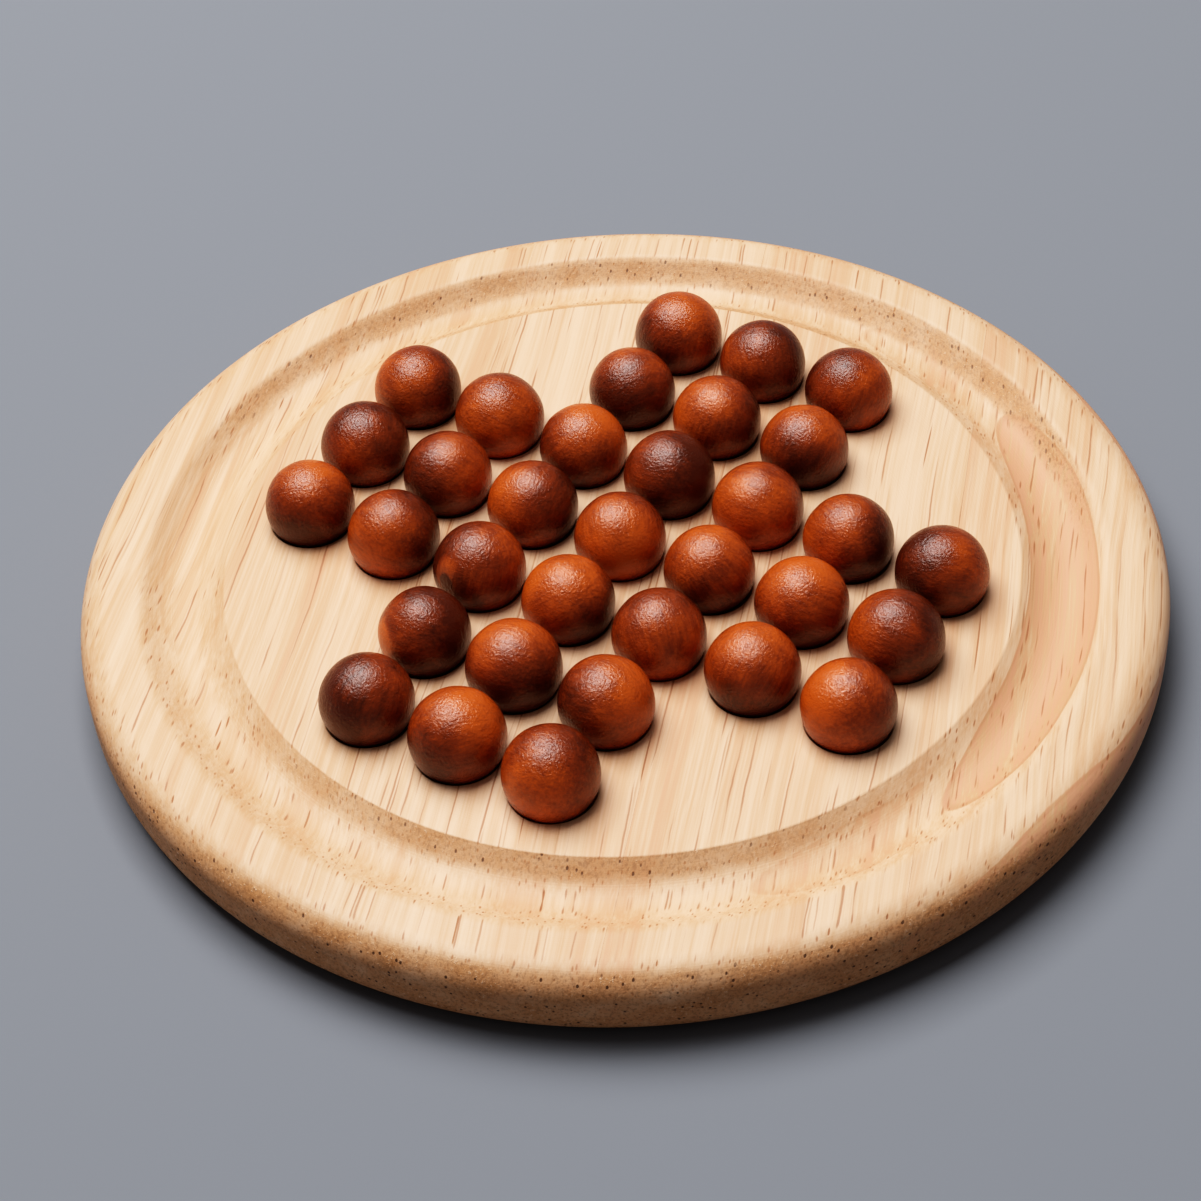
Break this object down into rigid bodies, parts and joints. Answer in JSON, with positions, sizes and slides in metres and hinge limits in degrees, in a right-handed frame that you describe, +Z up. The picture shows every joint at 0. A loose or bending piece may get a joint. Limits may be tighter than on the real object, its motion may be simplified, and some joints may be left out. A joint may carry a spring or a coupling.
{
  "type": "marble solitaire board",
  "caption": "Round wooden peg-solitaire board with a cross of cups, a ring groove round it, and loose stained wooden balls seated in the cups.",
  "frame": {"origin": "centre of the board's flat underside, on the surface the board stands on", "axes": "+Z up, out of the playing face; +X and +Y along the rows and columns of cups"},
  "size_m": [0.2144, 0.2144, 0.029],
  "materials": {
    "board_wood": "pale, fine-sanded and lightly oiled, satin",
    "ball_wood": "red-brown stain under a satin lacquer"
  },
  "bodies": {
    "board": {"board_stave_1": "board_wood", "board_stave_2": "board_wood", "board_stave_3": "board_wood", "board_stave_4": "board_wood"},
    "ball_c1": {"ball_c1": "ball_wood"},
    "ball_d1": {"ball_d1": "ball_wood"},
    "ball_e1": {"ball_e1": "ball_wood"},
    "ball_c2": {"ball_c2": "ball_wood"},
    "ball_d2": {"ball_d2": "ball_wood"},
    "ball_e2": {"ball_e2": "ball_wood"},
    "ball_a3": {"ball_a3": "ball_wood"},
    "ball_b3": {"ball_b3": "ball_wood"},
    "ball_c3": {"ball_c3": "ball_wood"},
    "ball_d3": {"ball_d3": "ball_wood"},
    "ball_e3": {"ball_e3": "ball_wood"},
    "ball_f3": {"ball_f3": "ball_wood"},
    "ball_g3": {"ball_g3": "ball_wood"},
    "ball_a4": {"ball_a4": "ball_wood"},
    "ball_b4": {"ball_b4": "ball_wood"},
    "ball_c4": {"ball_c4": "ball_wood"},
    "ball_d4": {"ball_d4": "ball_wood"},
    "ball_e4": {"ball_e4": "ball_wood"},
    "ball_f4": {"ball_f4": "ball_wood"},
    "ball_g4": {"ball_g4": "ball_wood"},
    "ball_a5": {"ball_a5": "ball_wood"},
    "ball_b5": {"ball_b5": "ball_wood"},
    "ball_c5": {"ball_c5": "ball_wood"},
    "ball_d5": {"ball_d5": "ball_wood"},
    "ball_e5": {"ball_e5": "ball_wood"},
    "ball_f5": {"ball_f5": "ball_wood"},
    "ball_g5": {"ball_g5": "ball_wood"},
    "ball_c6": {"ball_c6": "ball_wood"},
    "ball_d6": {"ball_d6": "ball_wood"},
    "ball_e6": {"ball_e6": "ball_wood"},
    "ball_c7": {"ball_c7": "ball_wood"},
    "ball_d7": {"ball_d7": "ball_wood"},
    "ball_e7": {"ball_e7": "ball_wood"}
  },
  "joints": [
    {"name": "lift_ball_c1", "type": "slide", "parent": "board", "child": "ball_c1", "axis": [0, 0, 1], "range_m": [0, 0.04]},
    {"name": "lift_ball_d1", "type": "slide", "parent": "board", "child": "ball_d1", "axis": [0, 0, 1], "range_m": [0, 0.04]},
    {"name": "lift_ball_e1", "type": "slide", "parent": "board", "child": "ball_e1", "axis": [0, 0, 1], "range_m": [0, 0.04]},
    {"name": "lift_ball_c2", "type": "slide", "parent": "board", "child": "ball_c2", "axis": [0, 0, 1], "range_m": [0, 0.04]},
    {"name": "lift_ball_d2", "type": "slide", "parent": "board", "child": "ball_d2", "axis": [0, 0, 1], "range_m": [0, 0.04]},
    {"name": "lift_ball_e2", "type": "slide", "parent": "board", "child": "ball_e2", "axis": [0, 0, 1], "range_m": [0, 0.04]},
    {"name": "lift_ball_a3", "type": "slide", "parent": "board", "child": "ball_a3", "axis": [0, 0, 1], "range_m": [0, 0.04]},
    {"name": "lift_ball_b3", "type": "slide", "parent": "board", "child": "ball_b3", "axis": [0, 0, 1], "range_m": [0, 0.04]},
    {"name": "lift_ball_c3", "type": "slide", "parent": "board", "child": "ball_c3", "axis": [0, 0, 1], "range_m": [0, 0.04]},
    {"name": "lift_ball_d3", "type": "slide", "parent": "board", "child": "ball_d3", "axis": [0, 0, 1], "range_m": [0, 0.04]},
    {"name": "lift_ball_e3", "type": "slide", "parent": "board", "child": "ball_e3", "axis": [0, 0, 1], "range_m": [0, 0.04]},
    {"name": "lift_ball_f3", "type": "slide", "parent": "board", "child": "ball_f3", "axis": [0, 0, 1], "range_m": [0, 0.04]},
    {"name": "lift_ball_g3", "type": "slide", "parent": "board", "child": "ball_g3", "axis": [0, 0, 1], "range_m": [0, 0.04]},
    {"name": "lift_ball_a4", "type": "slide", "parent": "board", "child": "ball_a4", "axis": [0, 0, 1], "range_m": [0, 0.04]},
    {"name": "lift_ball_b4", "type": "slide", "parent": "board", "child": "ball_b4", "axis": [0, 0, 1], "range_m": [0, 0.04]},
    {"name": "lift_ball_c4", "type": "slide", "parent": "board", "child": "ball_c4", "axis": [0, 0, 1], "range_m": [0, 0.04]},
    {"name": "lift_ball_d4", "type": "slide", "parent": "board", "child": "ball_d4", "axis": [0, 0, 1], "range_m": [0, 0.04]},
    {"name": "lift_ball_e4", "type": "slide", "parent": "board", "child": "ball_e4", "axis": [0, 0, 1], "range_m": [0, 0.04]},
    {"name": "lift_ball_f4", "type": "slide", "parent": "board", "child": "ball_f4", "axis": [0, 0, 1], "range_m": [0, 0.04]},
    {"name": "lift_ball_g4", "type": "slide", "parent": "board", "child": "ball_g4", "axis": [0, 0, 1], "range_m": [0, 0.04]},
    {"name": "lift_ball_a5", "type": "slide", "parent": "board", "child": "ball_a5", "axis": [0, 0, 1], "range_m": [0, 0.04]},
    {"name": "lift_ball_b5", "type": "slide", "parent": "board", "child": "ball_b5", "axis": [0, 0, 1], "range_m": [0, 0.04]},
    {"name": "lift_ball_c5", "type": "slide", "parent": "board", "child": "ball_c5", "axis": [0, 0, 1], "range_m": [0, 0.04]},
    {"name": "lift_ball_d5", "type": "slide", "parent": "board", "child": "ball_d5", "axis": [0, 0, 1], "range_m": [0, 0.04]},
    {"name": "lift_ball_e5", "type": "slide", "parent": "board", "child": "ball_e5", "axis": [0, 0, 1], "range_m": [0, 0.04]},
    {"name": "lift_ball_f5", "type": "slide", "parent": "board", "child": "ball_f5", "axis": [0, 0, 1], "range_m": [0, 0.04]},
    {"name": "lift_ball_g5", "type": "slide", "parent": "board", "child": "ball_g5", "axis": [0, 0, 1], "range_m": [0, 0.04]},
    {"name": "lift_ball_c6", "type": "slide", "parent": "board", "child": "ball_c6", "axis": [0, 0, 1], "range_m": [0, 0.04]},
    {"name": "lift_ball_d6", "type": "slide", "parent": "board", "child": "ball_d6", "axis": [0, 0, 1], "range_m": [0, 0.04]},
    {"name": "lift_ball_e6", "type": "slide", "parent": "board", "child": "ball_e6", "axis": [0, 0, 1], "range_m": [0, 0.04]},
    {"name": "lift_ball_c7", "type": "slide", "parent": "board", "child": "ball_c7", "axis": [0, 0, 1], "range_m": [0, 0.04]},
    {"name": "lift_ball_d7", "type": "slide", "parent": "board", "child": "ball_d7", "axis": [0, 0, 1], "range_m": [0, 0.04]},
    {"name": "lift_ball_e7", "type": "slide", "parent": "board", "child": "ball_e7", "axis": [0, 0, 1], "range_m": [0, 0.04]}
  ]
}
